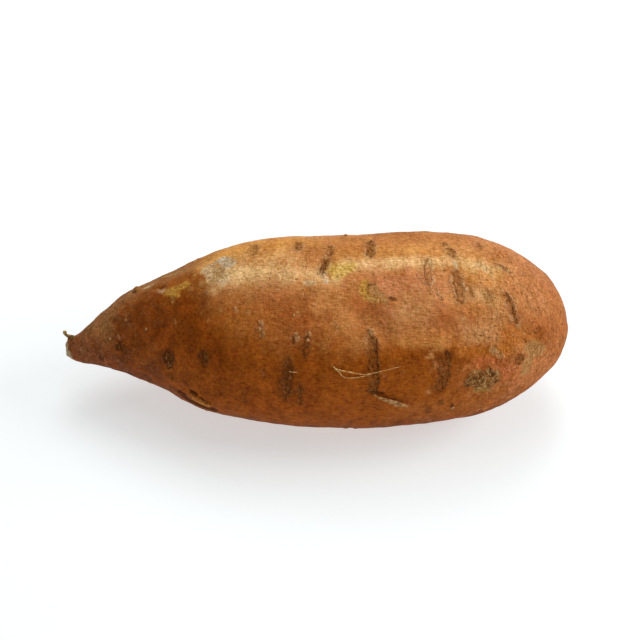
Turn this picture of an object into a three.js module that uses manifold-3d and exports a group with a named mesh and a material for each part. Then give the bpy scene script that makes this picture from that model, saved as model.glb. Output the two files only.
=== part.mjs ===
// A sweet potato: one storage root, lying on its side on a level surface.
// Millimetres. +X runs from the stalk end to the blunt end and +Z is up. The exported mesh is placed
// so that the origin is on the surface that the root rests on, below the middle of the root.

import * as THREE from "three";
import { mergeVertices } from "three/addons/utils/BufferGeometryUtils.js";
import Module from "manifold-3d";

// ---- Driving dimensions ----

const LENGTH = 180; // stalk end to blunt end, without the dried rootlet
const FACETS_AROUND = 54;
const FACETS_ALONG = 80;
const END_CROWDING = 0.5; // 0 spaces the rings evenly, 1 crowds them at both round ends

// Cross-sections, by distance "at" from the stalk end. The centre of each lies "side" towards the
// back (+Y) and "up" above the surface, and "wide" and "tall" are its half breadth and half height.
const SECTIONS = [
  { at: 0, side: 2.6, up: 22.2, wide: 0, tall: 0 },
  { at: 1.2, side: 2.6, up: 21.8, wide: 3.8, tall: 3.7 },
  { at: 5, side: 2.3, up: 22.4, wide: 5.7, tall: 5.6 },
  { at: 12, side: 3.2, up: 25, wide: 9.7, tall: 9.5 },
  { at: 22, side: 3.4, up: 28.2, wide: 15.2, tall: 14.7 },
  { at: 34, side: 2.3, up: 29.9, wide: 20.3, tall: 19.7 },
  { at: 48, side: 0.7, up: 31.4, wide: 27.1, tall: 26.3 },
  { at: 62, side: 0.5, up: 32.8, wide: 31.4, tall: 30.5 },
  { at: 78, side: 0, up: 33.2, wide: 34, tall: 33.1 },
  { at: 98, side: -0.8, up: 33.2, wide: 35.1, tall: 34.2 },
  { at: 120, side: 0.3, up: 33.5, wide: 35.3, tall: 34.4 },
  { at: 140, side: 1.4, up: 34, wide: 33.6, tall: 32.8 },
  { at: 154, side: 1.7, up: 34.2, wide: 30.2, tall: 29.4 },
  { at: 166, side: 1.8, up: 34.4, wide: 23.4, tall: 22.8 },
  { at: 175, side: 1.5, up: 34.4, wide: 14.2, tall: 13.8 },
  { at: 180, side: 1, up: 34.4, wide: 0, tall: 0 },
];

// Blunt ridges along the root. "around" is the angle in degrees from the top, through the front
// (-Y) at 90 and the underside at 180. "high" is how far a ridge stands out.
const RIDGES = [
  { around: 4, from: 40, to: 160, high: 1.3, broad: 15 },
  { around: 58, from: 95, to: 172, high: 1, broad: 15 },
  { around: 112, from: 20, to: 110, high: 0.7, broad: 18 },
  { around: 215, from: 60, to: 165, high: 0.9, broad: 18 },
  { around: 268, from: 30, to: 150, high: 1, broad: 20 },
];

// Shallow hollows. At the reaches "long" and "broad" the depth has faded to about a third.
const HOLLOWS = [
  { at: 110, around: 30, long: 16, broad: 16, deep: 1.2 },
  { at: 48, around: 36, long: 14, broad: 20, deep: 0.8 },
  { at: 84, around: 242, long: 24, broad: 14, deep: 0.9 },
  { at: 146, around: 286, long: 14, broad: 14, deep: 0.8 },
];

// The dried rootlet that curls off the stalk end, from inside the root to its knob, in the same
// terms as the sections.
const ROOTLET_PATH = [
  { at: 3, side: 3.2, up: 24.4 },
  { at: 1, side: 3.9, up: 25.6 },
  { at: -0.2, side: 4.2, up: 26 },
  { at: -0.9, side: 4.5, up: 26.9 },
];
const ROOTLET_RADIUS = 0.55;
const ROOTLET_FACETS = 8;
const ROOTLET_STEPS = 8;
const KNOB_RADIUS = 0.85;

const SKIN_COLOUR = 0xb06a3c;

// ---- The root's surface ----

const FULL_TURN = 360;
const radians = THREE.MathUtils.degToRad;

// The radius of a round end grows with the square root of the distance from it, and evenly with
// this angle, so the sections are joined by a smooth curve over the angle.
const polarAngle = (at) => Math.acos(1 - (2 * at) / LENGTH);

const SECTION_KEYS = ["side", "up", "wide", "tall"];
const sectionCurve = new THREE.CubicInterpolant(
  SECTIONS.map((section) => polarAngle(section.at)),
  SECTIONS.flatMap((section) => SECTION_KEYS.map((key) => section[key])),
  SECTION_KEYS.length,
);

function sectionAt(at) {
  const [side, up, wide, tall] = sectionCurve.evaluate(polarAngle(at));
  return { side, up, wide, tall };
}

// 1 at no distance, about a third at one reach, and nothing far away.
const fade = (distance, reach) => Math.exp(-((distance / reach) ** 2));

// The signed angle between two directions, from -180 to 180.
const turnBetween = (a, b) =>
  THREE.MathUtils.euclideanModulo(a - b + FULL_TURN / 2, FULL_TURN) - FULL_TURN / 2;

// How far the skin stands out of the plain oval section.
function relief(at, around) {
  let out = 0;
  for (const { from, to, high, broad, around: crest } of RIDGES) {
    const along = fade(at - (from + to) / 2, (to - from) / 2);
    out += high * along * fade(turnBetween(around, crest), broad);
  }
  for (const { at: middle, long, broad, deep, around: floor } of HOLLOWS) {
    out -= deep * fade(at - middle, long) * fade(turnBetween(around, floor), broad);
  }
  return out;
}

// A point of the skin, or of the flat spot where the skin would go below the surface.
function skinPoint(at, around) {
  const { side, up, wide, tall } = sectionAt(at);
  const out = wide > 0 ? relief(at, around) : 0;
  const angle = radians(around);
  return new THREE.Vector3(
    at,
    side - (wide + out) * Math.sin(angle),
    Math.max(0, up + (tall + out) * Math.cos(angle)),
  );
}

// How far from the stalk end a ring lies, for its share of the way through the rings.
function ringAt(share) {
  const crowded = (1 - Math.cos(Math.PI * share)) / 2;
  return LENGTH * THREE.MathUtils.lerp(share, crowded, END_CROWDING);
}

// A sphere whose rings of latitude become the cross-sections.
function makeBody() {
  const geometry = new THREE.SphereGeometry(1, FACETS_AROUND, FACETS_ALONG);
  const { position, uv } = geometry.attributes;
  for (let i = 0; i < position.count; i++) {
    const point = skinPoint(ringAt(1 - uv.getY(i)), (1 - uv.getX(i)) * FULL_TURN);
    position.setXYZ(i, ...point);
  }
  return geometry;
}

// ---- The dried rootlet ----

function makeRootlet() {
  const points = ROOTLET_PATH.map(({ at, side, up }) => new THREE.Vector3(at, side, up));
  const outline = new THREE.Shape().absarc(0, 0, ROOTLET_RADIUS, 0, 2 * Math.PI);
  const stem = new THREE.ExtrudeGeometry(outline, {
    steps: ROOTLET_STEPS,
    curveSegments: ROOTLET_FACETS,
    extrudePath: new THREE.CatmullRomCurve3(points),
  });
  const knob = new THREE.SphereGeometry(KNOB_RADIUS, ROOTLET_FACETS, ROOTLET_FACETS / 2);
  return [stem, knob.translate(...points.at(-1))];
}

// ---- Joining ----

const wasm = await Module();
wasm.setup();

// A closed geometry as a manifold-3d solid: only its positions, with shared vertices merged.
function toSolid(geometry) {
  const bare = new THREE.BufferGeometry()
    .setAttribute("position", geometry.getAttribute("position"))
    .setIndex(geometry.index);
  const { attributes, index } = mergeVertices(bare);
  const vertProperties = new Float32Array(attributes.position.array);
  return new wasm.Manifold(
    new wasm.Mesh({ numProp: 3, vertProperties, triVerts: new Uint32Array(index.array) }),
  );
}

function toGeometry(solid) {
  const { vertProperties, triVerts } = solid.getMesh();
  const geometry = new THREE.BufferGeometry()
    .setAttribute("position", new THREE.BufferAttribute(vertProperties, 3))
    .setIndex(new THREE.BufferAttribute(triVerts, 1));
  geometry.computeVertexNormals();
  return geometry;
}

function makeSweetPotato() {
  const [root, ...rest] = [makeBody(), ...makeRootlet()].map(toSolid);
  const joined = rest.reduce((whole, piece) => whole.add(piece), root);
  const skin = new THREE.MeshStandardMaterial({
    color: SKIN_COLOUR,
    roughness: 0.7,
    metalness: 0,
  });
  const mesh = new THREE.Mesh(toGeometry(joined), skin);
  mesh.name = "sweet_potato";
  mesh.geometry.computeBoundingBox();
  const { x, y } = mesh.geometry.boundingBox.getCenter(new THREE.Vector3());
  mesh.position.set(-x, -y, 0);
  return mesh;
}

export default new THREE.Group().add(makeSweetPotato());
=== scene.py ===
"""The looks of a sweet potato: skin with scars, stains and wrinkles, dried rootlets, a loose skin
flake, a pale floor, soft light and a camera.

The meshes are in metres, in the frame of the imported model. Sizes below are in millimetres, and
places on the root are in root coordinates: "at" is the distance from the stalk end in millimetres,
and "around" is the angle about the root in degrees, with 0 on top, 90 in front, 180 underneath
and 270 at the back.
"""

import math
from functools import partial, reduce

import bmesh
import bpy
import numpy as np
from mathutils import Matrix, Vector
from mathutils.bvhtree import BVHTree


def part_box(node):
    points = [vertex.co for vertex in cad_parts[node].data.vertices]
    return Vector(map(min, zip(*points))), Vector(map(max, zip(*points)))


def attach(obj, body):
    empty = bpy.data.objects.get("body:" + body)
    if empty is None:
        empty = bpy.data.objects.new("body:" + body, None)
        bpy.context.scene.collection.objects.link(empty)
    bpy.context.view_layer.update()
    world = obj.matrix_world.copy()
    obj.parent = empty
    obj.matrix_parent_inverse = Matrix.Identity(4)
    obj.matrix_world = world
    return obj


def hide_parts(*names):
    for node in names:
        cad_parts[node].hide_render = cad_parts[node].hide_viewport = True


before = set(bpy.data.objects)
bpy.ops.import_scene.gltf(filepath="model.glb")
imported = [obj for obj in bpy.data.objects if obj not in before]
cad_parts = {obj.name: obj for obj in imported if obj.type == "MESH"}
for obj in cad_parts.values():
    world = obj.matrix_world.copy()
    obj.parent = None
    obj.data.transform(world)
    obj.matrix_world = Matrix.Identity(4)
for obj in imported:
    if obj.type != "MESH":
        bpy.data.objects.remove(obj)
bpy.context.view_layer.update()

NODE = "sweet_potato"
BODY = "root"
MM = 0.001  # a millimetre, in metres

low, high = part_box(NODE)
middle = (low + high) / 2


def linear(code):
    """A colour for a shader, from a web colour such as "c08040", by the sRGB curve."""
    parts = [int(code[i : i + 2], 16) / 255 for i in (0, 2, 4)]
    return (*(c / 12.92 if c <= 0.04045 else ((c + 0.055) / 1.055) ** 2.4 for c in parts), 1)


# ---- Camera ----

CAMERA_ELEVATION = 45
CAMERA_DISTANCE = 632 * MM
CAMERA_LENS = 100
CAMERA_SENSOR = 36
CAMERA_NEAR = 10 * MM
AIM_BESIDE_MIDDLE = Vector((2.2, 0, 3.7)) * MM


def link(name, data):
    """A new object of the scene that holds the data."""
    thing = bpy.data.objects.new(name, data)
    bpy.context.scene.collection.objects.link(thing)
    return thing


def place_facing(thing, target, back, distance):
    """Puts a camera or light at that distance from its target, facing it."""
    thing.location = target + back.normalized() * distance
    thing.rotation_euler = back.to_track_quat("Z", "Y").to_euler()


def make_camera():
    data = bpy.data.cameras.new("camera")
    data.lens = CAMERA_LENS
    data.sensor_width = CAMERA_SENSOR
    data.clip_start = CAMERA_NEAR
    camera = link("camera", data)
    tilt = math.radians(CAMERA_ELEVATION)
    back = Vector((0, -math.cos(tilt), math.sin(tilt)))
    place_facing(camera, middle + AIM_BESIDE_MIDDLE, back, CAMERA_DISTANCE)
    bpy.context.scene.camera = camera


make_camera()

# ---- Floor and light ----

FLOOR_SIZE = 8  # metres
FLOOR_COLOUR = (0.55, 0.6, 0.61, 1)
FLOOR_GLOW = 0.53
WORLD_STRENGTH = 0.25
WHITE = (1, 1, 1, 1)
LIGHT_SIZE = 0.6  # metres
LIGHT_DISTANCE = 1  # metres
# name, direction from the root, and power in watts
LIGHTS = [
    ("right_light", (0.87, 0, 0.5), 5.6),
    ("back_light", (0, 0.5, 0.87), 3.8),
    ("top_light", (0, 0, 1), 1.6),
]


def make_floor():
    half = FLOOR_SIZE / 2
    mesh = bpy.data.meshes.new("floor")
    corners = [(-half, -half, 0), (half, -half, 0), (half, half, 0), (-half, half, 0)]
    mesh.from_pydata(corners, [], [(0, 1, 2, 3)])
    floor = link("floor", mesh)
    material = bpy.data.materials.new("floor")
    material.use_nodes = True
    values = {
        "Base Color": FLOOR_COLOUR,
        "Roughness": 1,
        "Specular IOR Level": 0,
        "Emission Color": WHITE,
        "Emission Strength": FLOOR_GLOW,
    }
    for name, value in values.items():
        material.node_tree.nodes["Principled BSDF"].inputs[name].default_value = value
    mesh.materials.append(material)


def make_lights():
    world = bpy.data.worlds.new("studio")
    world.use_nodes = True
    background = world.node_tree.nodes["Background"]
    background.inputs["Color"].default_value = WHITE
    background.inputs["Strength"].default_value = WORLD_STRENGTH
    bpy.context.scene.world = world
    bpy.context.scene.view_settings.view_transform = "Standard"
    for name, direction, power in LIGHTS:
        data = bpy.data.lights.new(name, "AREA")
        data.shape = "DISK"
        data.size = LIGHT_SIZE
        data.energy = power
        place_facing(link(name, data), middle, Vector(direction), LIGHT_DISTANCE)


make_floor()
make_lights()

# ---- The shape of the root, in root coordinates ----

LENGTH = 180.0  # without the dried rootlet
STALK_END = high.x / MM - LENGTH  # x of the stalk end
SLICES = 96
SPOKES = 72
FULL_TURN = 360
QUARTERS = (0, 90, 180, 270)


def spoke(around):
    """The direction from the middle of the root to its skin at that angle."""
    angle = math.radians(around)
    return Vector((0, -math.sin(angle), math.cos(angle)))


def turn_between(a, b):
    """The angle from b to a, from -180 to 180 degrees."""
    return (np.asarray(a) - b + FULL_TURN / 2) % FULL_TURN - FULL_TURN / 2


class Root:
    """The CAD root, measured from the centres of its cross-sections."""

    def __init__(self, mesh):
        bm = bmesh.new()
        bm.from_mesh(mesh)
        bm.transform(Matrix.Scale(1 / MM, 4))
        self.surface = BVHTree.FromBMesh(bm)
        bm.free()
        shares = np.linspace(0, math.pi, SLICES + 2)[1:-1]
        self.slices = LENGTH * (1 - np.cos(shares)) / 2  # close together at both round ends
        self.centres = self.find_centres()

    def hit(self, start, direction):
        return self.surface.ray_cast(start, direction)[0]

    def find_centres(self):
        """The middle of each cross-section, found from the thick part outwards to each end."""
        centres = [None] * SLICES
        thick = SLICES // 2
        for order in (range(thick, SLICES), range(thick, -1, -1)):
            centre = middle / MM
            for i in order:
                start = Vector((STALK_END + self.slices[i], centre.y, centre.z))
                hits = [self.hit(start, spoke(around)) for around in QUARTERS]
                centre = sum(hits, Vector()) / len(hits)
                centres[i] = centre
        return centres

    def centre_at(self, at):
        """Height and sideways place of the centre, as arrays of y and z."""
        y = np.interp(at, self.slices, [c.y for c in self.centres])
        z = np.interp(at, self.slices, [c.z for c in self.centres])
        return y, z

    def point(self, at, around, out=0.0):
        """A point on the skin, or that far outside it."""
        y, z = self.centre_at(at)
        direction = spoke(around)
        return self.hit(Vector((STALK_END + at, y, z)), direction) + direction * out

    def coordinates(self, points):
        """Root coordinates of points, and their distance from the centre line."""
        at = points[:, 0] - STALK_END
        y, z = self.centre_at(at)
        front, up = y - points[:, 1], points[:, 2] - z
        around = np.degrees(np.arctan2(front, up)) % FULL_TURN
        return at, around, np.hypot(front, up)


root = Root(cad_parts[NODE].data)

# ---- Fields over the skin ----


def fade(distance, reach):
    """1 at no distance, about a third at one reach, and nothing far away."""
    return np.exp(-((distance / reach) ** 2))


def step(value, start, end):
    """A smooth rise from 0 at the start to 1 at the end."""
    share = np.clip((value - start) / (end - start), 0, 1)
    return share * share * (3 - 2 * share)


WAVE_COUNT = 48
WAVE_RATES = (0.6, 1.4)  # the slowest and the fastest wave
WAVE_PEAK = 1.6  # most sums of waves with a spread of 1 stay below this


def waves(points, length, seed):
    """Smooth noise in three dimensions, mostly between -1 and 1, with bumps about that long."""
    rng = np.random.default_rng(seed)
    directions = rng.normal(size=(3, WAVE_COUNT))
    directions /= np.linalg.norm(directions, axis=0)
    rates = rng.uniform(*WAVE_RATES, WAVE_COUNT) * 2 * math.pi / length
    phases = rng.uniform(0, 2 * math.pi, WAVE_COUNT)
    total = np.cos(points @ (directions * rates) + phases).sum(axis=1)
    return total * math.sqrt(2 / WAVE_COUNT) / WAVE_PEAK


SHORTEST_LINE = 1e-6  # so that no length is zero
FAR_OUT = 6  # depths are kept from this far outside


def read_vectors(mesh, key):
    values = np.empty(len(mesh.vertices) * 3, np.float32)
    mesh.vertices.foreach_get(key, values)
    return values.reshape(-1, 3).astype(float)


class Skin:
    """Places and normals of the skin's points, with their root coordinates."""

    def __init__(self, mesh):
        self.points = read_vectors(mesh, "co") / MM
        self.normals = read_vectors(mesh, "normal")
        self.at, self.around, self.radius = root.coordinates(self.points)

    def from_line(self, start, end):
        """How far each point lies beyond and beside the middle of a line over the skin, and how
        long the line is, in millimetres. The ends are (at, around)."""
        (at_a, around_a), (at_b, around_b) = start, end
        x = self.at - (at_a + at_b) / 2
        y = np.radians(turn_between(self.around, (around_a + around_b) / 2)) * self.radius
        dx = at_b - at_a
        dy = np.radians(around_b - around_a) * self.radius
        length = np.maximum(np.hypot(dx, dy), SHORTEST_LINE)
        if start == end:
            return x, y, length
        return (x * dx + y * dy) / length, (x * dy - y * dx) / length, length

    def distance(self, start, end):
        """The distance of each point from a line over the skin, in millimetres."""
        along, beside, length = self.from_line(start, end)
        return np.hypot(np.maximum(np.abs(along) - length / 2, 0), beside)

    def depth(self, strokes):
        """How far inside the nearest of the strokes each point lies, in millimetres. A stroke is
        the start and end of a line over the skin, and its reach to both sides."""
        depths = [reach - self.distance(start, end) for start, end, reach in strokes]
        return np.clip(np.max(depths, axis=0), -FAR_OUT, None)


# ---- Marks on the skin ----

# Corky scars where rootlets left the root: the two ends as (at, around), how broad, how dark,
# how much of the inside is dark too, and which side is darker (-1 towards the stalk, 1 away).
SCARS = [
    ((20.3, 58), (21, 72), 2, 1, 0.9, 1), ((12.8, 86), (13.6, 97), 1.2, 0.9, 1, 0),
    ((38.9, 62), (38.7, 79), 3, 1, 1, 0), ((39.1, 85), (39.8, 92), 1.3, 0.6, 0.5, 0),
    ((51.4, 59), (51.6, 72), 2.8, 0.9, 0.7, 0), ((51.6, 17), (51.3, 27), 2.6, 0.3, 0.3, 0),
    ((80.7, 62), (79.4, 90), 3.6, 0.75, 0.4, 1), ((84.7, 77), (84.3, 95), 1.9, 0.75, 0.5, 0),
    ((87.5, 48), (86.3, 62), 1.9, 0.75, 0.2, -1), ((82.2, 50), (82.9, 54), 1.3, 0.7, 0.5, -1),
    ((71, 42), (71.1, 51), 1.3, 0.45, 0.2, 0), ((67.9, -27), (68.3, -8), 2.6, 0.5, 0.2, 1),
    ((83.9, -24), (83.6, -8), 2.2, 0.75, 0.5, 0), ((94.9, -15), (94.4, -2), 1.6, 0.65, 0.5, 0),
    ((94.2, 0), (91.8, 12), 1.5, 0.9, 0.6, 0), ((109, -20), (108.6, 0), 2.2, 0.8, 0.6, 0),
    ((128, 3), (127.9, 20), 2.2, 0.6, 0.1, -1), ((134.2, -15), (135.4, -12), 1.2, 0.8, 0.7, 0),
    ((136, -9), (137.2, 1), 1.6, 0.75, 0.5, 1), ((137.5, 11), (139.4, 32), 2.6, 0.8, 0, -1),
    ((146.5, -21), (147.1, -11), 1.3, 0.6, 0.5, 0), ((151.8, 1), (157, 5), 1.1, 0.6, 0.4, 0),
    ((142.3, 21), (143.3, 27), 0.9, 0.55, 0.6, 0), ((148.2, 23), (149.1, 31), 2.6, 0.4, 0.4, 0),
    ((154.7, 22), (159, 45), 1.4, 0.85, 0.3, 1), ((158.8, 67), (160.2, 74), 2.6, 0.9, 0.5, 0),
    ((109, 49), (109.7, 87), 3.5, 0.95, 0.1, 1), ((133.9, 59), (132.6, 86), 4.2, 0.9, 0.2, 1),
    ((132.9, 91), (132.5, 98), 1.3, 0.5, 0.6, 0), ((128.8, 97), (129, 106), 0.9, 0.5, 0.8, 0),
    ((150.7, 58), (150.4, 65), 0.9, 0.4, 0.6, 0), ((152.9, 63), (153, 70), 0.9, 0.4, 0.6, 0),
]

# The paler skin on top: where it is, and the angles at which it ends in front and at the back, with
# how many degrees the front edge takes to fade out.
PALE_EDGES = [
    (34, -60, -70, 24), (44, -6, -80, 26), (52, 18, -84, 26), (66, 40, -80, 24), (84, 44, -70, 22),
    (100, 51, -64, 16), (114, 53, -70, 9), (130, 55.5, -80, 3.5), (150, 57, -84, 3.5),
    (166, 68, -76, 8), (180, 80, -70, 10),
]
BACK_FADE = 16  # degrees that the back edge takes to fade out
# Height in degrees, length in millimetres and seed of the waves that make these edges ragged.
PALE_RAGGED = [(5, 11, 21), (3, 4, 22)]
# The same for the edges of all strokes of colour, with the height as a share of their distance.
STROKE_RAGGED = [(0.3, 7, 23), (0.25, 2.6, 24)]

# Colours of the skin. f6c684 is a painted highlight and 763a0c is painted shade on the underside;
# 5a2610 is painted shade along the lower edge of the stalk end, and the brown around one scar.
SKIN_COLOURS = {
    "deep": "9e5110", "tan": "cc8748", "russet": "7d3d10", "umber": "743402", "plum": "8e5432",
    "bronze": "985312", "ginger": "90450b", "amber": "bc6e28", "painted_highlight": "f6c684", "straw": "eda64a",
    "golden": "d08a44", "rosy": "d88c5a", "coral": "c4683a", "salmon": "dc905a", "copper": "b0662b",
    "clay": "d89c62", "cinnamon": "b26530", "fawn": "a8733e", "gilt": "bc6e26", "shade": "5a2610",
    "underside_shade": "763a0c",
}

# Soft changes of colour, painted in this order: the colour, a line over the skin, its reach to
# both sides in millimetres, and its strength. Among them are painted shade on the underside and
# along lower edges, and a painted highlight along the top ridge.
STROKES = [
    ("russet", (10, 20), (30, 34), 15, 0.9), ("russet", (10, 200), (34, 290), 15, 0.8),
    ("bronze", (32, -24), (50, 2), 9, 0.9), ("fawn", (10, 2), (26, -26), 5.5, 0.85),
    ("fawn", (26, -30), (44, -32), 6, 0.8), ("fawn", (12, 8), (14.5, 52), 4, 0.75),
    ("umber", (31, 10), (33, 50), 5, 0.35), ("umber", (44, 22), (54, 36), 7, 0.5),
    ("umber", (54, 60), (62, 62), 7, 0.4), ("shade", (38.8, 65), (38.6, 76), 2.2, 0.7),
    ("umber", (42, 56), (45, 64), 4, 0.4), ("umber", (41, 30), (46, 38), 5, 0.4),
    ("umber", (51, 46), (54, 54), 4.5, 0.4), ("amber", (62, 36), (80, 42), 7, 0.6),
    ("ginger", (60, 92), (86, 92), 12, 0.7), ("ginger", (100, 96), (130, 90), 12, 0.2),
    ("umber", (56, 58), (58, 82), 4, 0.55), ("umber", (84, 44), (83, 82), 4.5, 0.5),
    ("umber", (130, 63), (140, 63), 3.5, 0.6), ("umber", (138, 78), (140, 84), 4, 0.65),
    # The next five strokes, darker and greyer along the lower edges and the underside, are painted
    # shade.
    ("shade", (8, 101), (31, 99), 7, 0.65), ("shade", (6, 126), (32, 123), 6, 0.75),
    ("underside_shade", (40, 126), (150, 130), 13, 0.9), ("underside_shade", (50, 190), (150, 190), 16, 0.5),
    ("plum", (44, 127), (60, 129), 6, 0.5), ("copper", (124, 99), (146, 101), 5, 0.4),
    ("copper", (150, 84), (170, 96), 14, 0.8), ("salmon", (166, -30), (174, 60), 18, 0.85),
    ("copper", (177, -40), (177, 90), 8, 0.8), ("salmon", (150, 296), (170, 270), 14, 0.7),
    ("straw", (58, -22), (80, -20), 9, 0.85), ("straw", (100, -8), (130, -6), 8, 0.25),
    # The palest strokes here and below are a painted highlight, mostly along the top ridge.
    ("painted_highlight", (58, 5), (78, 10), 5, 0.95), ("painted_highlight", (64, -12), (88, -4), 5, 0.25),
    ("painted_highlight", (80, 9), (97, 15), 2.4, 0.6), ("painted_highlight", (100, 5), (116, 6), 2.4, 0.9),
    ("painted_highlight", (116, 6), (133, 5), 2.4, 0.9), ("cinnamon", (104, 31), (116, 34), 6.5, 0.8),
    ("clay", (122, 35), (129, 38), 6, 0.8), ("cinnamon", (76, 30), (84, 40), 7, 0.75),
    ("cinnamon", (84, -14), (88, -2), 5, 0.35), ("ginger", (83, 34), (86, 42), 5, 0.3),
    ("cinnamon", (133, 41), (142, 46), 6, 0.9), ("umber", (134, 45), (140, 48), 4.5, 0.15),
    ("cinnamon", (153, 46), (161, 54), 4.5, 0.6), ("umber", (110, 36), (114, 43), 5, 0.4),
    ("cinnamon", (161, 42), (171, 54), 8, 0.75), ("cinnamon", (156, 14), (161, 20), 5, 0.5),
    ("clay", (157, 8), (166, 24), 6.5, 0.25), ("clay", (137, 22), (141, 26), 4, 0.4),
    ("clay", (150, 38), (155, 42), 4.5, 0.35), ("cinnamon", (100, -18), (130, -20), 7, 0.3),
    ("rosy", (108, 17), (120, 19), 4.2, 0.75), ("rosy", (120, 18), (133, 21), 5, 0.6),
    ("straw", (143, 7), (151, 9), 5, 0.35), ("painted_highlight", (139, 4), (150, 7), 3.2, 0.75),
    ("painted_highlight", (147, 26), (151, 29), 3, 0.45), ("golden", (120, 53), (132, 54), 1.8, 0.8),
    ("golden", (132, 54), (139, 54), 2, 0.7), ("clay", (142, 53.5), (151, 54), 2.4, 0.65),
    ("ginger", (137, 52), (138, 57), 2, 0.6), ("coral", (145.5, 66), (153, 67), 2.3, 0.85),
    ("gilt", (140, 60.2), (155, 61.7), 2.5, 0.9), ("gilt", (154.5, 50), (156, 58), 2.4, 0.6),
    ("gilt", (158, 52), (163, 57), 4.5, 0.5), ("clay", (142, 47), (149, 50), 3, 0.5),
    ("coral", (154, 75), (156, 82), 2.2, 0.7), ("plum", (1, 20), (9, 90), 6.5, 0.9),
    ("fawn", (9, -8), (14, 14), 4, 0.8), ("golden", (47.4, 101.8), (52.4, 106.8), 0.9, 0.8),
    ("plum", (1, 200), (8, 290), 6.5, 0.9), ("golden", (60, 230), (84, 238), 9, 0.5),
    ("straw", (92, 262), (124, 272), 9, 0.6), ("rosy", (120, 250), (146, 262), 10, 0.6),
    ("painted_highlight", (60, 292), (100, 300), 6, 0.5), ("golden", (90, 160), (120, 170), 8, 0.35),
]

# Marks with ragged edges: strokes, each with the two ends of a line over the skin, and a reach to
# both sides in millimetres. All but the last three are stains. The shadows are mostly painted
# shade in folds and pits, beside stumps and at a tear; two of them are a brown spot and a dark line
# on the skin. The welts are thin and pale, and the crust is dried on.
MARKS = {
    "putty": [
        ((52.6, -6), (55.4, 6), 3), ((56, 0), (58, 9), 2.8), ((86.7, 17.2), (88.8, 17.2), 1.3),
        ((92.2, 12), (93.2, 16), 1.1), ((137.2, 5), (137.8, 8), 1.3), ((34.9, -1), (36.9, 3), 1),
        ((29.2, -19), (32.2, -20), 0.9), ((145, 4), (150, 8), 1), ((101, 222), (110, 226), 3.4),
        ((128, 300), (131, 306), 2.2),
    ],
    "drab": [
        ((164.4, 64), (167, 68.5), 3), ((163.2, 74), (162.4, 84), 2.1),
        ((109.2, 20), (110.6, 23.5), 1.7), ((112.3, 25), (113.5, 29), 1.4),
    ],
    "fleck": [
        ((63.2, 32), (63.2, 33.6), 0.7), ((67, 34), (67.2, 35), 0.6), ((71.6, 41), (71.9, 49), 0.8),
        ((84, 35.5), (84.2, 37), 0.6), ((83.2, 48.6), (83.6, 51.5), 0.8),
        ((96.8, 41), (97.4, 44), 0.6), ((20, 48), (20.3, 52), 0.5), ((41, 34), (41.4, 37), 0.5),
        ((150, 60.5), (153.2, 65.5), 1.2),
    ],
    "yellow": [
        ((95.6, 8), (101.6, 6.6), 2.5), ((96, 12), (99, 11), 1.8), ((72, 248), (78, 252), 2),
    ],
    "ochre": [
        ((106.8, 17.5), (105.9, 22.5), 1.9), ((105.9, 22.5), (107.6, 26), 1.6),
        ((38.5, 6), (44.5, 4), 1.8), ((40, 10), (42, 12), 1.2),
    ],
    "olive": [
        ((107.9, 26.5), (110.3, 27.8), 1.2), ((35, -32), (44, -23), 1.2),
        ((145.4, 89), (149, 90), 1.3), ((97, 12.6), (97.4, 13.6), 0.8), ((52.4, 11), (62, 5), 0.5),
    ],
    "slate": [
        ((57, -12), (60, -4), 2.5), ((92.8, 14.5), (93.4, 16.5), 0.9),
        ((137.4, 5.6), (137.6, 7), 0.6),
    ],
    "shadow": [
        ((43, 111), (54, 113.5), 1.8), ((42, 104.5), (43.4, 105.2), 1.2),
        ((46.2, 97.6), (47.6, 98.4), 1.2), ((50, 101), (53, 104.5), 0.6),
        ((107.4, 82.6), (112.8, 84.8), 0.85), ((35.4, -5), (36.6, -6), 0.8),
        ((25, -19), (25.8, -16), 0.7), ((115.2, 27), (116.6, 28.2), 0.8),
        ((107.6, 18.6), (110.2, 18.4), 0.4), ((107.6, 19.4), (107.6, 24.5), 0.4),
        ((137, 98), (137.2, 101), 0.5), ((151.4, 82), (152, 84), 0.8),
    ],
    "welt": [
        ((125.6, 16), (131.2, 25), 1), ((129.9, 4), (130, 20), 1), ((130, 20), (132.6, 28), 1),
        ((140.3, 14), (141.6, 29), 1), ((153.4, 0.5), (156.6, 3.6), 1),
    ],
    "crust": [((145.2, 79.6), (148.8, 81), 4.5)],
}

# Lumps and hollows of the skin: a line over it, a reach to both sides, and a height.
LUMPS = [
    ((95, 104), (125, 104), 12, -0.55), ((98, 132), (120, 132), 12, -0.4),
    ((22, 116), (30, 112), 8, -0.8), ((158, 118), (168, 104), 9, -0.6),
    ((3, 130), (5, 128), 3, 0.5), ((42, -24), (48, -26), 6, -0.8), ((74, -34), (84, -32), 7, -0.45),
    ((162, -30), (169, -24), 7, -0.5), ((173, -60), (175.5, -30), 5, 0.8),
    ((177, 100), (178, 150), 5, 0.2), ((178, -80), (179, -30), 4, -0.6),
    ((47.4, 102), (52.4, 107), 1.1, 0.9), ((44, 96.5), (50, 100), 0.9, -0.5),
    ((42, 104.5), (43.4, 105.2), 0.9, -0.8), ((46.2, 97.6), (47.4, 98.4), 0.8, -0.6),
    ((43, 111), (54, 113), 1.4, -0.6), ((25.4, -27), (26.4, -20), 1.2, 0.8),
    ((35.6, -5), (36.4, -6), 0.9, -0.6), ((107.4, 82.6), (112.8, 84.8), 0.8, -0.5),
    ((97.2, 43), (97.3, 43), 1, 0.3),
]

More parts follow.
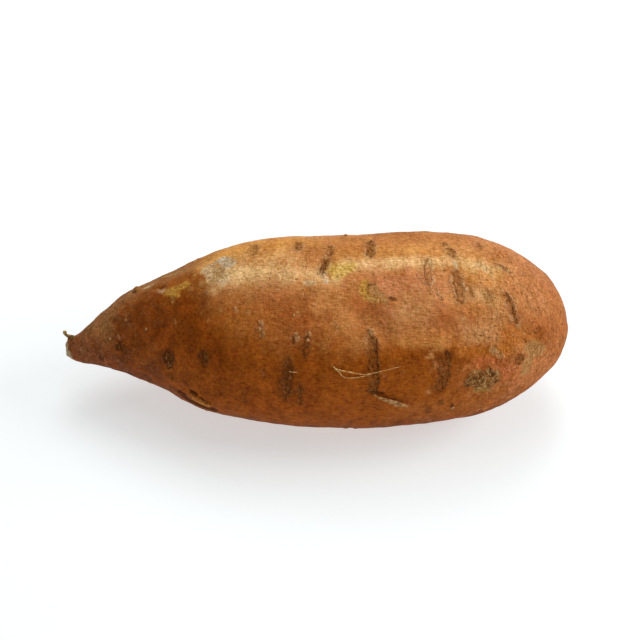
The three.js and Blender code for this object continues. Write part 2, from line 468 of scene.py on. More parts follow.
# Scars on the sides that the marks above leave bare, in loose rows along the root.
HIDDEN_ROWS = (140, 166, 205, 243, 276, 300)
HIDDEN_START = (14, 34)  # a row starts somewhere between these
HIDDEN_END = 166
HIDDEN_GAP = (13, 34)
HIDDEN_HALF = (3, 10)  # half the length of a scar, in degrees
HIDDEN_STRAY = 5  # how far scars stray from their row, in degrees
HIDDEN_SLANT = 0.8
HIDDEN_LEAST = (1.2, 0.4, 0.2)  # how broad, how dark and how filled they are
HIDDEN_MOST = (3.2, 0.95, 0.9)

SCAR_SURROUNDINGS = 3.0  # how far a scar changes the skin around it
SCAR_FADES = (0.6, 0.95)  # where that change fades out, as shares of it


def hidden_scars():
    """The scars of the hidden sides, in the same terms as the others."""
    rng = np.random.default_rng(11)
    scars = []
    for row in HIDDEN_ROWS:
        at = rng.uniform(*HIDDEN_START)
        while at < HIDDEN_END:
            turn = row + rng.normal(0, HIDDEN_STRAY)
            half = rng.uniform(*HIDDEN_HALF)
            slant = rng.normal(0, HIDDEN_SLANT)
            ends = (at - slant, turn - half), (at + slant, turn + half)
            broad, darkness, filled = rng.uniform(HIDDEN_LEAST, HIDDEN_MOST)
            scars.append((*ends, broad, darkness, filled, rng.choice((-1, 0, 1))))
            at += rng.uniform(*HIDDEN_GAP)
    return scars


def scar_fields(skin):
    """For each point, by the nearest scar: how far outside its lens-shaped outline the point is, in
    millimetres, how far towards its darker side, how dark the scar is, and how much of its inside
    is dark."""
    count = len(skin.at)
    outside = np.full(count, SCAR_SURROUNDINGS)
    side, dark, filled = np.zeros((3, count))
    for start, end, broad, darkness, inner, darker_side in SCARS + hidden_scars():
        along, beside, length = skin.from_line(start, end)
        share = np.clip(np.abs(along) / (length / 2), 0, 1)
        past_side = np.abs(beside) - broad / 2 * np.sqrt(1 - share**3)
        past_end = np.maximum(np.abs(along) - length / 2, 0)
        out = np.where(past_end > 0, np.hypot(past_end, np.maximum(past_side, 0)), past_side)
        near = out < outside
        outside[near] = out[near]
        side[near] = darker_side * np.clip(beside / (broad / 2), -1, 1)[near]
        dark[near] = darkness
        filled[near] = inner
    dark *= 1 - step(outside, *(share * SCAR_SURROUNDINGS for share in SCAR_FADES))
    return outside, side, dark, filled


def layered_waves(skin, layers):
    """A sum of waves, from the height, the length and the seed of each."""
    return sum(height * waves(skin.points, length, seed) for height, length, seed in layers)


def paleness(skin):
    """How much the point belongs to the paler skin on top."""
    at, front, back, fade_out = np.transpose(PALE_EDGES)
    ragged = layered_waves(skin, PALE_RAGGED)
    front = np.interp(skin.at, at, front)
    back = np.interp(skin.at, at, back)
    fade_out = np.interp(skin.at, at, fade_out)
    turn = turn_between(skin.around, 0) + ragged * fade_out / np.max(fade_out)
    in_front = 1 - step(turn, front - fade_out, front + fade_out)
    behind = step(turn, back - BACK_FADE, back + BACK_FADE)
    return in_front * behind


def make_tint(skin, pale):
    """The skin's colour at each point, without stains and scars. Some strokes are painted shade
    and a painted highlight.
    """
    colours = {name: np.array(linear(code)[:3]) for name, code in SKIN_COLOURS.items()}
    tint = colours["deep"] + (colours["tan"] - colours["deep"]) * pale[:, None]
    ragged = 1 + layered_waves(skin, STROKE_RAGGED)
    for name, start, end, reach, strength in STROKES:
        share = strength * fade(skin.distance(start, end) * ragged, reach)
        tint += (colours[name] - tint) * share[:, None]
    return tint


# ---- The skin's mesh ----

VOXEL = 0.705
SMOOTHING = 2  # how often the smooth body is subdivided
# Unevenness all over the root: the height and the length of the bumps, and a seed.
BUMPS = [(0.2, 26, 1), (0.11, 9, 2), (0.04, 4, 3)]
# Places along the root between which something fades in or out.
TORN_END = (0.6, 2.2)
CONE = (25, 60)
VEINED = (14, 46)
PITTED = (128, 165)
# Angles: the middle of the crown, and how far from it the crown fades out.
CROWN = -24
CROWN_EDGE = (24, 44)
# At this angle the cut of the stalk end reaches a millimetre further from the end, and it reaches
# less the further the skin is from this angle.
CUT_LONGEST = 120
CUT_REACH = 50


def apply_modifiers(piece):
    graph = bpy.context.evaluated_depsgraph_get()
    mesh = bpy.data.meshes.new_from_object(piece.evaluated_get(graph))
    piece.modifiers.clear()
    piece.data = mesh


def make_smooth_body():
    """The CAD root without its facets and its rootlet."""
    turns = np.arange(SPOKES) * FULL_TURN / SPOKES
    points = [root.point(at, around) for at in root.slices for around in turns]
    first, last = (Vector((STALK_END + root.slices[i], *root.centres[i].yz)) for i in (0, -1))
    poles = [root.hit(first, Vector((-1, 0, 0))), root.hit(last, Vector((1, 0, 0)))]
    stalk_pole, blunt_pole = len(points), len(points) + 1
    faces = []
    for j in range(SPOKES):
        k = (j + 1) % SPOKES
        for i in range(SLICES - 1):
            ring, next_ring = i * SPOKES, (i + 1) * SPOKES
            faces.append((ring + j, ring + k, next_ring + k, next_ring + j))
        last_ring = (SLICES - 1) * SPOKES
        faces.append((stalk_pole, k, j))
        faces.append((blunt_pole, last_ring + j, last_ring + k))
    mesh = bpy.data.meshes.new("smooth_body")
    mesh.from_pydata([point * MM for point in points + poles], [], faces)
    mesh.shade_smooth()
    body = link("smooth_body", mesh)
    body.modifiers.new("smooth", "SUBSURF").levels = SMOOTHING
    apply_modifiers(body)
    return body


def displacement(skin, outside, dark, crust):
    """How far each point of the skin stands out of the smooth body."""
    points = skin.points
    out = layered_waves(skin, BUMPS)
    # wrinkles around the root, higher on the cone, and wrinkles along the cone
    cone = 1 - step(skin.at, *CONE)
    out += (0.03 + 0.03 * cone) * waves(points * (1, 0.3, 0.3), 2.6, 4)
    out += 0.06 * cone * waves(points * (0.2, 1, 1), 3.2, 5)
    # the torn end, the rough floors and raised lips of scars, and the crust
    rough = waves(points, 1.9, 6)
    out += (1 - step(skin.at, *TORN_END)) * (0.9 + 0.25 * rough)
    ragged = outside + 0.35 * waves(points, 2.4, 7)
    inside = 1 - step(ragged, -0.5, 0.1)
    out += dark * (inside * (0.12 * rough - 0.25) + 0.18 * fade(ragged - 0.45, 0.45))
    out += step(crust, 0, 1.2) * (0.3 + 0.22 * rough)
    for start, end, reach, height in LUMPS:
        out += height * fade(skin.distance(start, end), reach)
    return out


def put_attribute(piece, name, values):
    """Stores a number or a triple for each point, for the materials to read."""
    kind = "FLOAT" if values.ndim == 1 else "FLOAT_VECTOR"
    attribute = piece.data.attributes.new(name, kind, "POINT")
    key = "value" if values.ndim == 1 else "vector"
    attribute.data.foreach_set(key, np.ascontiguousarray(values, np.float32).ravel())


def make_skin():
    smooth = make_smooth_body()
    piece = link("skin", smooth.data.copy())
    remesh = piece.modifiers.new("remesh", "REMESH")
    remesh.mode = "VOXEL"
    remesh.voxel_size = VOXEL * MM
    wrap = piece.modifiers.new("wrap", "SHRINKWRAP")
    wrap.target = smooth
    wrap.wrap_method = "NEAREST_SURFACEPOINT"
    apply_modifiers(piece)
    bpy.data.objects.remove(smooth)

    skin = Skin(piece.data)
    pale = paleness(skin)
    outside, side, dark, filled = scar_fields(skin)
    depths = {name: skin.depth(strokes) for name, strokes in MARKS.items()}
    out = displacement(skin, outside, dark, depths["crust"])
    moved = skin.points + skin.normals * out[:, None]
    moved[:, 2] = np.maximum(moved[:, 2], 0)
    piece.data.vertices.foreach_set("co", (moved * MM).ravel())
    piece.data.update()
    piece.data.shade_smooth()

    masks = {
        "tint": make_tint(skin, pale),
        "scar": np.stack((outside, side, dark), axis=1),
        "filled": filled,
        "pale": pale,
        "crown": pale * (1 - step(np.abs(turn_between(skin.around, CROWN)), *CROWN_EDGE)),
        "pitted": step(skin.at, *PITTED),
        "veined": 1 - step(skin.at, *VEINED),
        "end": skin.at - fade(turn_between(skin.around, CUT_LONGEST), CUT_REACH),
        **depths,
    }
    for name, values in masks.items():
        put_attribute(piece, name, values)
    return piece


# ---- Materials ----

# The places of a colour mix's sockets, whose names it has more than once.
MIX_SHARE, MIX_A, MIX_B = 0, 6, 7
MIX_RESULT = 2
# Specks lie in the cells whose number is above the rarest, less the spread for a chance of 1.
SPECK_RAREST = 0.85
SPECK_SPREAD = 0.6
SPECK_EDGE = 0.05
# The share of a speck and of a band that is at full strength.
SPECK_CORE = 0.6
BAND_CORE = 0.3


class Shader:
    """Adds nodes to a new material, and links them.

    Lengths are in millimetres. Noise goes from 0 to 1 and mostly stays between 0.3 and 0.7, so
    that is where the thresholds for it lie. The last number of a product is a strength. The colour
    so far and the heights are kept, so that one layer after the other can be put on.
    """

    def __init__(self, name):
        self.material = bpy.data.materials.new(name)
        self.material.use_nodes = True
        self.tree = self.material.node_tree
        self.surface = self.tree.nodes["Principled BSDF"]
        self.place = self.scaled(self.node("ShaderNodeTexCoord")["Object"], (1 / MM,) * 3)
        self.colour = None
        self.heights = []

    def put(self, node, inputs):
        """Sets or links inputs of a node, by their names or places."""
        for key, value in inputs.items():
            if isinstance(value, bpy.types.NodeSocket):
                self.tree.links.new(value, node.inputs[key])
            else:
                node.inputs[key].default_value = value

    def node(self, kind, inputs=None, **settings):
        """The outputs of a new node."""
        node = self.tree.nodes.new(kind)
        for key, value in settings.items():
            setattr(node, key, value)
        self.put(node, inputs or {})
        return node.outputs

    def scaled(self, vector, factors, shift=(0, 0, 0)):
        inputs = {0: vector, 1: factors, 2: shift}
        return self.node("ShaderNodeVectorMath", inputs, operation="MULTIPLY_ADD")[0]

    def math(self, operation, *values):
        return self.node("ShaderNodeMath", dict(enumerate(values)), operation=operation)[0]

    def product(self, *values):
        return reduce(partial(self.math, "MULTIPLY"), values)

    def total(self, *values):
        return reduce(partial(self.math, "ADD"), values)

    def read(self, name, kind="Fac"):
        """What the mesh holds for each point: a number, or else a Color or a Vector."""
        return self.node("ShaderNodeAttribute", attribute_name=name)[kind]

    def noise(self, length, stretch=(1, 1, 1), detail=3, rough=0.5, twist=0):
        """Noise from 0 to 1, with bumps about that long, drawn out where stretch is large."""
        vector = self.scaled(self.place, tuple(1 / (length * s) for s in stretch))
        inputs = {"Vector": vector, "Scale": 1, "Detail": detail}
        inputs |= {"Roughness": rough, "Distortion": twist}
        return self.node("ShaderNodeTexNoise", inputs)["Fac"]

    def cells(self, length, stretch=(1, 1, 1), shift=0):
        """A pattern of cells about that long: the distance from each cell's middle, as a share of
        the length, and a number from 0 to 1 for each cell."""
        vector = self.scaled(self.place, tuple(1 / (length * s) for s in stretch), (shift,) * 3)
        cells = self.node("ShaderNodeTexVoronoi", {"Vector": vector, "Scale": 1})
        return cells["Distance"], self.product(cells["Color"], 1)

    def specks(self, length, size, chance, stretch=(1, 1, 1), shift=0):
        """Scattered specks of that size, as a share of the length of the cells that they lie in.
        The chance goes from 0 for few specks to 1 for many."""
        distance, number = self.cells(length, stretch, shift)
        ragged = self.total(distance, self.centred(self.noise(length / 3), 0.5))
        rarest = SPECK_RAREST - SPECK_SPREAD * chance
        chosen = self.step(number, rarest, rarest + SPECK_EDGE)
        return self.product(self.step(ragged, size, SPECK_CORE * size), chosen)

    def band(self, value, middle, half):
        """1 where the value is close to the middle, and 0 further than half away."""
        away = self.math("ABSOLUTE", self.math("SUBTRACT", value, middle))
        return self.step(away, half, BAND_CORE * half)

    def centred(self, noise, size):
        """Noise that goes up and down from 0 instead of 0.5."""
        return self.product(self.math("SUBTRACT", noise, 0.5), size)

    def step(self, value, start, end, high=1):
        """A smooth rise from 0 at the start to that high at the end."""
        inputs = {"Value": value, "From Min": start, "From Max": end, "To Min": 0, "To Max": high}
        return self.node("ShaderNodeMapRange", inputs, interpolation_type="SMOOTHSTEP")["Result"]

    def mix(self, share, a, b, blend="MIX"):
        """Colour a, with that share of colour b over it."""
        inputs = {MIX_SHARE: share, MIX_A: a, MIX_B: b}
        return self.node("ShaderNodeMix", inputs, data_type="RGBA", blend_type=blend)[MIX_RESULT]

    def shaded(self, colour, brightness):
        """The colour, times a brightness."""
        return self.mix(1, colour, brightness, "MULTIPLY")

    def cover(self, share, colour):
        """Puts that share of a colour over the colour so far."""
        self.colour = self.mix(share, self.colour, colour)

    def finish(self, roughness, specular):
        """The material, with the colour and the heights so far."""
        bump = {"Distance": MM, "Height": self.total(*self.heights)}
        values = {
            "Base Color": self.colour,
            "Roughness": roughness,
            "Specular IOR Level": specular,
            "Normal": self.node("ShaderNodeBump", bump)["Normal"],
        }
        self.put(self.surface, values)
        return self.material


# The lighter and the darker colour of each stain, and how ragged it is.
STAIN_LOOKS = {
    "putty": ("e2bc8a", "be925c", 1),
    "drab": ("c08a50", "9e6a38", 0.45),
    "fleck": ("d2a068", "a46c38", 0.6),
    "yellow": ("e8c26c", "cb963e", 1.1),
    "ochre": ("d09a42", "a87026", 0.8),
    "olive": ("c2984f", "94682f", 1),
    "slate": ("ead4b2", "b89a76", 1),
}
# How the skin's own mottling changes its colour: the red, green and blue that multiply it.
DARK_GRAIN = (0.6, 0.42, 0.12, 1)
LIGHT_GRAIN = (1.4, 1.58, 1.88, 1)
RUSTY = linear("ae4f13")
DARK_SPECK = linear("542c0c")
PALE_FLECK = linear("e8b786")
VEIN = linear("b5784c")
CORK = linear("8a5226")
CORK_PALE = linear("b47a44")
SCAR_DARK = linear("3c1a04")
# The colour of scabs in scars, and of the painted shade along creases.
WOUND_AND_SHADE = linear("743c0e")
SHADOW = linear("4a2208")
CRUST_DARK = linear("4e2806")
CRUST_MID = linear("a06c38")
CRUST_PALE = linear("cb9b60")
STALK_CUT = linear("cdb48a")
SKIN_SPECULAR = 0.045
DRY_SPECULAR = 0.15
DRY_ROUGHNESS = 0.7


def add_grain(s):
    """The skin's own colour, with mottling, threads along it, and dashes and bands across."""
    blotches = s.noise(5, rough=0.58, twist=0.4)
    s.mottle = s.noise(1.5, rough=0.6)
    threads = s.noise(0.43, stretch=(5, 1, 1), detail=2, rough=0.6)
    dashes = s.noise(0.5, stretch=(0.8, 2.4, 2.4), detail=2, rough=0.6)
    bands = s.noise(4, stretch=(1, 4, 4), detail=2)
    clouds = s.noise(13, detail=1)
    coarse = s.total(
        s.centred(bands, 0.55),
        s.centred(blotches, 0.72),
        s.product(s.centred(clouds, 0.85), s.pale),
    )
    fine = s.total(
        s.centred(s.mottle, 0.85),
        s.product(s.centred(threads, 1.2), s.total(1, s.product(s.crown, 0.3))),
        s.product(s.centred(dashes, 0.9), s.total(1, s.product(s.crown, -0.5))),
    )
    fineness = s.total(1.3, s.product(s.pale, -0.48), s.product(s.crown, 0.18))
    grain = s.total(coarse, s.product(fine, fineness))
    s.tone = s.mix(s.total(0.56, grain), DARK_GRAIN, LIGHT_GRAIN)
    s.colour = s.shaded(s.read("tint", "Color"), s.tone)
    warm = s.step(s.noise(5, detail=2, twist=0.5), 0.44, 0.62)
    s.cover(s.product(warm, 0.25), s.shaded(RUSTY, s.tone))
    s.heights += [s.centred(blotches, 0.7), s.centred(s.mottle, 0.45), s.centred(threads, 0.12)]


def add_specks(s):
    """Dark streaks, pores and pale flecks on the pale skin, and pits at the blunt end."""
    grainy = s.total(s.product(s.pale, 0.7), s.product(s.pitted, 0.3), s.product(s.crown, -0.3))
    streaks = s.step(s.noise(0.4, stretch=(2.8, 1, 1), rough=0.6), 0.56, 0.7)
    s.cover(s.product(streaks, grainy, 0.4), DARK_SPECK)
    pores = s.specks(1.7, 0.24, 0.5, stretch=(1.5, 1, 1))
    s.cover(s.product(pores, grainy, 0.75), DARK_SPECK)
    pits = s.specks(1.3, 0.3, 0.4, shift=7)
    s.cover(s.product(pits, s.pitted, 0.45), DARK_SPECK)
    flecks = s.specks(1.9, 0.24, 0.35, stretch=(1.6, 1, 1), shift=3)
    s.cover(s.product(flecks, grainy, 0.3), PALE_FLECK)
    s.heights += [s.product(s.total(pores, pits), grainy, -0.15), s.product(flecks, grainy, 0.1)]


def add_wrinkles(s):
    """Painted shade along creases, veins on the cone, and wrinkles, lengthwise on top and all ways
    at the blunt end.
    """
    creased = s.total(s.product(s.veined, 0.45), s.product(s.pitted, 0.3))
    folds = s.noise(4.5, detail=4, rough=0.6, twist=0.6)
    # Painted shade: dark lines along the creases, which the bump also sinks.
    crease_shade = s.product(s.band(folds, 0.5, 0.035), creased)
    s.cover(crease_shade, WOUND_AND_SHADE)
    veins = s.noise(5, stretch=(1.8, 1, 1), rough=0.6, twist=0.8)
    veins = s.product(s.band(veins, 0.5, 0.02), s.veined)
    s.cover(s.product(veins, 0.6), VEIN)
    wrinkles = s.noise(1.5, stretch=(1, 1.5, 1.5), rough=0.58, twist=0.4)
    furrows = s.noise(0.9, stretch=(3, 1, 1), rough=0.62, twist=0.3)
    rugged = s.total(
        0.15,
        s.product(s.pitted, 0.85),
        s.product(s.veined, 0.4),
        s.product(s.pale, 0.25),
        s.product(s.crown, 0.55),
    )
    s.heights += [
        s.product(crease_shade, -0.35),
        s.product(veins, 0.3),
        s.product(s.centred(wrinkles, 1.5), rugged),
        s.product(s.centred(furrows, 0.4), s.pale),
    ]


def add_welts(s):
    """Thin pale welts, broken by the mottling."""
    welts = s.total(s.read("welt"), s.centred(s.noise(2.5), 3))
    welts = s.product(s.band(welts, 0.75, 0.4), s.step(s.mottle, 0.4, 0.52))
    s.cover(s.product(welts, 0.45), PALE_FLECK)
    s.heights.append(s.product(welts, 0.3))


def add_stains(s):
    """Stains with clumps of two colours, and painted shade in folds, tears and pits."""
    ragged = s.total(
        s.centred(s.noise(2.4, detail=5, rough=0.68), 3.6),
        s.centred(s.noise(0.8, rough=0.6), 2),
    )
    clumps = s.step(s.noise(0.9, detail=4, rough=0.65), 0.36, 0.64)
    for name, (light, dull, raggedness) in STAIN_LOOKS.items():
        depth = s.total(s.read(name), s.product(ragged, raggedness))
        stain = s.shaded(s.mix(clumps, linear(dull), linear(light)), s.tone)
        s.cover(s.step(depth, -0.5, 1.1, 0.9), stain)
    # The shadow marks: mostly painted shade, with a brown spot and a dark line among them.
    shadow = s.total(s.read("shadow"), s.centred(s.noise(0.9), 1.6))
    s.cover(s.step(shadow, -0.3, 0.6, 0.8), SHADOW)


def add_scars(s):
    """Scars: broken lines along their sides, clots, cracks across, pale cork and raised lips."""
    outside, side, dark = s.node("ShaderNodeSeparateXYZ", {0: s.read("scar", "Vector")})
    filled = s.read("filled")
    outline = s.total(outside, s.centred(s.noise(1.9, detail=4, rough=0.65), 3.4))
    s.cover(s.product(s.step(outline, 1.3, -0.3), dark, 0.25), CORK)
    breaks = s.noise(1.3, stretch=(0.6, 2, 2), detail=4, rough=0.62)
    breaks = s.step(s.total(breaks, s.product(side, 0.09)), 0.47, 0.56)
    hollow = s.step(filled, 1, 0.2)
    line = s.product(s.band(outline, -0.2, 0.42), breaks, hollow)
    clot = s.total(
        s.noise(1.2, stretch=(0.7, 1.6, 1.6), detail=4, rough=0.62),
        s.centred(filled, 0.2),
        s.product(outline, -0.05),
    )
    clot = s.product(s.step(clot, 0.54, 0.62), s.step(outline, 0.9, 0.1))
    cracks = s.step(s.noise(0.5, stretch=(4, 1, 1)), 0.56, 0.64)
    cracks = s.product(cracks, s.step(outline, 1.6, 0.1), 0.5)
    wounds = s.product(s.math("MAXIMUM", s.math("MAXIMUM", line, clot), cracks), dark)
    cork = s.noise(1.1, stretch=(0.7, 1.6, 1.6), detail=4, rough=0.62, twist=0.5)
    cork = s.product(s.step(cork, 0.47, 0.38), s.step(outline, 0.6, -0.2), dark)
    lips = s.product(s.band(outline, 0.8, 0.6), s.step(s.mottle, 0.44, 0.56), dark, s.pale)
    scab = s.mix(s.step(s.noise(0.8), 0.36, 0.56), SCAR_DARK, WOUND_AND_SHADE)
    s.cover(s.product(lips, 0.5), PALE_FLECK)
    s.cover(s.product(wounds, 0.95), scab)
    s.cover(s.product(cork, 0.8), CORK_PALE)
    s.heights += [s.product(wounds, -0.4), s.product(cork, 0.4), s.product(lips, 0.3)]


def add_crust(s):
    """The dried crust: grains of three colours with dark gaps."""
    crusty = s.total(s.read("crust"), s.centred(s.noise(2.8, detail=5, rough=0.72), 10))
    crusty = s.step(crusty, -0.6, 1)
    distance, number = s.cells(0.9)
    lumps = s.total(s.noise(1.3, detail=5, rough=0.72), s.centred(number, 0.15))
    grains = s.mix(s.step(lumps, 0.36, 0.5), CRUST_DARK, CRUST_MID)
    grains = s.mix(s.step(lumps, 0.5, 0.62), grains, CRUST_PALE)
    grains = s.mix(s.step(distance, 0.45, 0.8, 0.45), grains, CRUST_DARK)
    s.cover(s.product(crusty, s.step(s.mottle, 0.32, 0.46)), grains)
    s.heights.append(s.product(crusty, s.step(distance, 0.7, 0.1), 0.45))


def add_cut(s):
    """The dried cut of the stalk end."""
    cut = s.step(s.total(s.read("end"), s.centred(s.noise(1.5, detail=4), 1.6)), 1.2, 0.6)
    s.cover(s.product(cut, 0.9), s.shaded(STALK_CUT, s.tone))


def make_skin_material():
    s = Shader("skin")
    s.pale, s.crown, s.pitted, s.veined = map(s.read, ("pale", "crown", "pitted", "veined"))
    add_grain(s)
    add_specks(s)
    add_wrinkles(s)
    add_welts(s)
    add_stains(s)
    add_scars(s)
    add_crust(s)
    add_cut(s)
    return s.finish(s.total(0.5, s.product(s.mottle, 0.25)), SKIN_SPECULAR)


def make_dry_material(name, light, dark, length):
    """Dry, fibrous root: two colours in streaks along the root."""
    s = Shader(name)
    fibres = s.noise(length * 0.5, stretch=(3, 1, 1), detail=4, rough=0.65)
    patches = s.noise(length)
    share = s.step(s.total(fibres, s.centred(patches, 0.8)), 0.38, 0.62)
    s.colour = s.mix(share, linear(dark), linear(light))
    s.heights = [s.centred(fibres, 0.25), s.centred(patches, 0.2)]
    return s.finish(DRY_ROUGHNESS, DRY_SPECULAR)


# ---- Rootlets, stumps and the flake ----

# Hair rootlets: points (at, around, height above the skin) from the foot to the tip.
HAIRS = [
    [(95.6, 65.5, -0.6), (96.6, 67, 0.4), (98.9, 68, 0.6), (105, 70, 0.8), (108.4, 70, 0.7),
     (113.5, 68, 1), (118.6, 66, 1.5)],
    [(95.7, 65.8, -0.6), (96.6, 67.4, 0.4), (97.9, 69, 0.5), (99.3, 72, 0.4), (102.3, 72.4, 0.6),
     (106.7, 71, 0.9), (109.4, 69.4, 0.9)],
    [(80.9, 70, -0.6), (81.6, 70, 0.4), (83.9, 69.8, 0.7)],
    [(72, 212, -0.6), (73, 212, 0.5), (77, 209, 0.7), (84, 211, 0.6), (90, 215, 1)],
    [(118, 262, -0.6), (118.5, 263, 0.5), (121, 268, 0.8), (122, 275, 0.7), (126, 281, 1.1)],
    [(52, 270, -0.6), (52.6, 271, 0.4), (55, 274, 0.8), (59, 275, 0.9)],
    [(140, 186, -0.6), (141, 186, 0.5), (145, 190, 0.7), (149, 191, 0.8)],
]
HAIR_RADIUS = 0.24
HAIR_TAPER = 0.65  # how much of its radius a hair loses up to its tip
HAIR_UNEVEN = (0.85, 1.15)
HAIR_STEPS = 8  # between two points
HAIR_SIDES = 6
STRAY = 0.035  # how far the points of hairs and of the rootlet stray

# Broken stumps of rootlets: at, around, radius and height.
STUMPS = [
    (83.4, 48.6, 0.6, 0.5), (84.2, 50.4, 0.45, 0.4), (87.8, 48, 0.5, 0.5), (87.2, 51.5, 0.4, 0.4),
    (70.8, 40.6, 0.4, 0.45), (70.9, 45.5, 0.5, 0.45), (62.5, 31.7, 0.5, 0.5),
    (66.7, 34.2, 0.35, 0.4), (82.4, 37, 0.35, 0.3), (108.6, 47, 0.8, 0.8), (137.3, 102, 0.45, 0.4),
    (17, 52, 0.3, 0.3), (30.5, 42, 0.35, 0.3), (23, 28, 0.3, 0.3), (26, -25, 0.9, 1.0),
    (100.5, -36, 0.6, 0.6), (151, 82, 0.4, 0.4), (60, 246, 0.7, 0.7), (92, 204, 0.8, 0.7),
    (104, 288, 0.7, 0.6), (130, 230, 0.8, 0.8), (150, 268, 0.6, 0.6), (40, 216, 0.7, 0.6),
    (76, 138, 0.7, 0.5), (164, 176, 0.6, 0.5),
]
# The outline of a stump from its foot to the middle of its worn end: radius and height, as
# shares of its own.
STUMP_OUTLINE = [(1.7, -0.5), (1.3, 0.1), (0.95, 0.6), (0.75, 0.95), (0.5, 1.0), (0.25, 0.85)]
STUMP_SIDES = 12
STUMP_LEAN = 0.15
STUMP_BREADTH = 1.3  # how much broader a stump is around the root than along it
STUMP_KNOBS = (0.75, 1.25)  # how much the sides of a stump differ
STUMP_UNEVEN = (0.93, 1.07)  # and the rings of each side
STUMP_RAGGED = (0.9, 1.1)  # and their heights

# A sliver of skin torn up at one end: at, around, height above the skin and half its width.
FLAKE = [
    (109.6, 84.8, -0.2, 0.15), (110.8, 85.8, 0.3, 0.35), (112.8, 87.4, 0.5, 0.6),
    (115, 89.2, 0.55, 0.95), (117.4, 91.2, 0.7, 1.15), (119.6, 92.6, 0.8, 0.9),
    (121.9, 94, 0.9, 0.3),
]
FLAKE_STEPS = 5
FLAKE_ACROSS = 7
FLAKE_CROWN = 0.35  # how far its middle stands above its edges, as a share of half its width
FLAKE_RAGGED = 0.18  # how much its width varies, as a share
FLAKE_ROUGH = 0.03  # how far its points rise and fall
FLAKE_THICK = 0.14


def smooth_path(points, steps):
    """A smooth curve through the points, with that many steps between two of them."""
    p = np.array([tuple(point) for point in points], float)
    p = np.vstack((2 * p[0] - p[1], p, 2 * p[-1] - p[-2]))
    curve = []
    for a, b, c, d in zip(p, p[1:], p[2:], p[3:]):
        for t in np.arange(steps) / steps:
            turn = (c - a) * t + (2 * a - 5 * b + 4 * c - d) * t**2 + (3 * b - a - 3 * c + d) * t**3
            curve.append(b + turn / 2)
    curve.append(p[-2])
    return np.array(curve)


def smooth_numbers(numbers, steps):
    return smooth_path([(number, 0, 0) for number in numbers], steps)[:, 0]


def add_tube(bm, points, radii, sides):
    """A closed tube along the points."""
    rings = []
    normal = None
    for i, radius in enumerate(radii):
        before, after = Vector(points[max(i - 1, 0)]), Vector(points[min(i + 1, len(radii) - 1)])
        ahead = (after - before).normalized()
        normal = ahead.orthogonal() if normal is None else normal - ahead * normal.dot(ahead)
        normal.normalize()
        beside = ahead.cross(normal)
        ring = []
        for j in range(sides):
            angle = 2 * math.pi * j / sides
            out = normal * math.cos(angle) + beside * math.sin(angle)
            ring.append(bm.verts.new(Vector(points[i]) + out * radius))
        rings.append(ring)
    join_rings(bm, rings)


def join_rings(bm, rings):
    """Faces between rings of equal length, and a cap over each end."""
    for ring, next_ring in zip(rings, rings[1:]):
        for j in range(len(ring)):
            k = (j + 1) % len(ring)
            bm.faces.new((ring[j], ring[k], next_ring[k], next_ring[j]))
    bm.faces.new(rings[-1])
    bm.faces.new(rings[0][::-1])


def finish_piece(name, bm, material):
    """A smooth object from a mesh in millimetres, riding on the root's body."""
    bmesh.ops.recalc_face_normals(bm, faces=bm.faces)
    bm.transform(Matrix.Scale(MM, 4))
    mesh = bpy.data.meshes.new(name)
    bm.to_mesh(mesh)
    bm.free()
    mesh.shade_smooth()
    mesh.materials.append(material)
    piece = link(name, mesh)
    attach(piece, BODY)
    return piece


def make_hairs():
    rng = np.random.default_rng(5)
    bm = bmesh.new()
    for places in HAIRS:
        points = smooth_path([root.point(*place) for place in places], HAIR_STEPS)
        points[1:] += rng.normal(0, STRAY, points[1:].shape)
        shares = np.linspace(0, 1, len(points))
        radii = HAIR_RADIUS * (1 - HAIR_TAPER * shares) * rng.uniform(*HAIR_UNEVEN, len(points))
        add_tube(bm, points, radii, HAIR_SIDES)
    finish_piece("hair_rootlets", bm, make_dry_material("hair", "ecc486", "b8864a", 1))


def make_stumps():
    rng = np.random.default_rng(6)
    bm = bmesh.new()
    for at, around, radius, height in STUMPS:
        foot = root.point(at, around)
        up = spoke(around)
        along = Vector((1, 0, 0))
        beside = up.cross(along)
        lean = Vector(rng.normal(0, STUMP_LEAN, 3))
        knobs = rng.uniform(*STUMP_KNOBS, STUMP_SIDES)
        rings = []
        for wide, tall in STUMP_OUTLINE:
            ring = []
            for j in range(STUMP_SIDES):
                angle = 2 * math.pi * j / STUMP_SIDES
                out = along * math.cos(angle) + STUMP_BREADTH * beside * math.sin(angle)
                reach = radius * wide * knobs[j] * rng.uniform(*STUMP_UNEVEN)
                rise = height * tall * rng.uniform(*STUMP_RAGGED)
                ring.append(bm.verts.new(foot + out * reach + (up + lean) * rise))
            rings.append(ring)
        join_rings(bm, rings)
    piece = finish_piece("stumps", bm, make_dry_material("stump", "cf9a62", "96602f", 0.7))
    smooth = piece.modifiers.new("smooth", "SUBSURF")
    smooth.levels = 1
    smooth.render_levels = 1


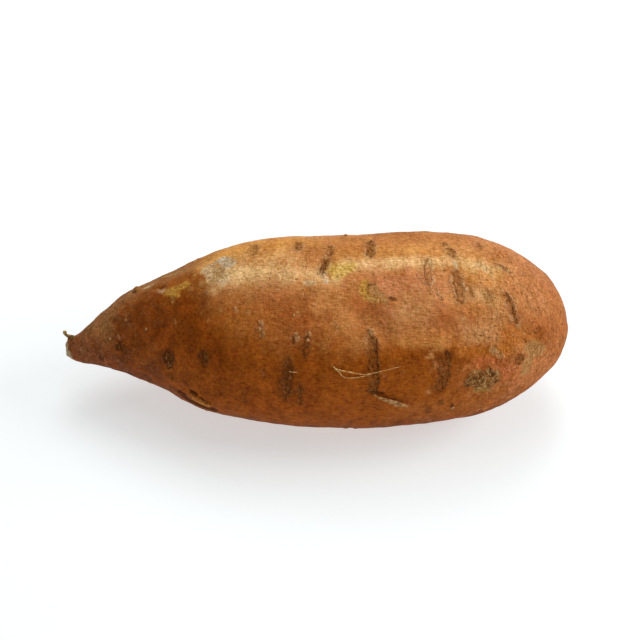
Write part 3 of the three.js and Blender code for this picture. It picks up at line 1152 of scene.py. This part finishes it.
def make_flake():
    rng = np.random.default_rng(7)
    spine = smooth_path([root.point(*place[:3]) for place in FLAKE], FLAKE_STEPS)
    half_widths = smooth_numbers([place[3] for place in FLAKE], FLAKE_STEPS)
    turns = smooth_numbers([place[1] for place in FLAKE], FLAKE_STEPS)
    bm = bmesh.new()
    rows = []
    for i, half in enumerate(half_widths):
        ahead = Vector(spine[min(i + 1, len(spine) - 1)] - spine[max(i - 1, 0)]).normalized()
        up = spoke(turns[i])
        beside = ahead.cross(up).normalized()
        row = []
        for share in np.linspace(-1, 1, FLAKE_ACROSS):
            edge = 1 + FLAKE_RAGGED * rng.uniform(-1, 1) * abs(share)
            rise = FLAKE_CROWN * half * (1 - share**2) + rng.normal(0, FLAKE_ROUGH)
            row.append(bm.verts.new(Vector(spine[i]) + beside * share * half * edge + up * rise))
        rows.append(row)
    for row, next_row in zip(rows, rows[1:]):
        for j in range(FLAKE_ACROSS - 1):
            bm.faces.new((row[j], row[j + 1], next_row[j + 1], next_row[j]))
    piece = finish_piece("flake", bm, make_dry_material("flake", "c0905a", "8a5a2e", 1.2))
    piece.modifiers.new("thick", "SOLIDIFY").thickness = FLAKE_THICK * MM


# The dried rootlet at the stalk end, from inside the root to its knob: (at, to the back, up),
# from the middle of the stalk end, and its radius.
ROOTLET = [
    (4.2, 0.2, 2.0, 1.3), (2.4, 0.8, 3.3, 1.15), (1.0, 1.3, 3.7, 0.85), (0.1, 1.6, 3.9, 0.62),
    (-0.55, 1.75, 4.2, 0.5), (-0.95, 1.9, 4.8, 0.55), (-0.9, 1.95, 5.3, 0.72),
    (-0.7, 1.95, 5.7, 0.5),
]
ROOTLET_STEPS = 6
ROOTLET_SIDES = 14
ROOTLET_UNEVEN = (0.9, 1.1)


def make_rootlet():
    rng = np.random.default_rng(8)
    stalk = Vector((STALK_END, *root.centres[0].yz))
    points = smooth_path([stalk + Vector(place[:3]) for place in ROOTLET], ROOTLET_STEPS)
    radii = smooth_numbers([place[3] for place in ROOTLET], ROOTLET_STEPS)
    radii *= rng.uniform(*ROOTLET_UNEVEN, len(radii))
    bm = bmesh.new()
    add_tube(bm, points, radii, ROOTLET_SIDES)
    for vertex in bm.verts:
        vertex.co += Vector(rng.normal(0, STRAY, 3))
    finish_piece("rootlet", bm, make_dry_material("rootlet", "c09a52", "6e4a22", 1.4))


# ---- The scene ----

skin_piece = make_skin()
skin_piece.data.materials.clear()
skin_piece.data.materials.append(make_skin_material())
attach(skin_piece, BODY)
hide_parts(NODE)
make_hairs()
make_stumps()
make_flake()
make_rootlet()
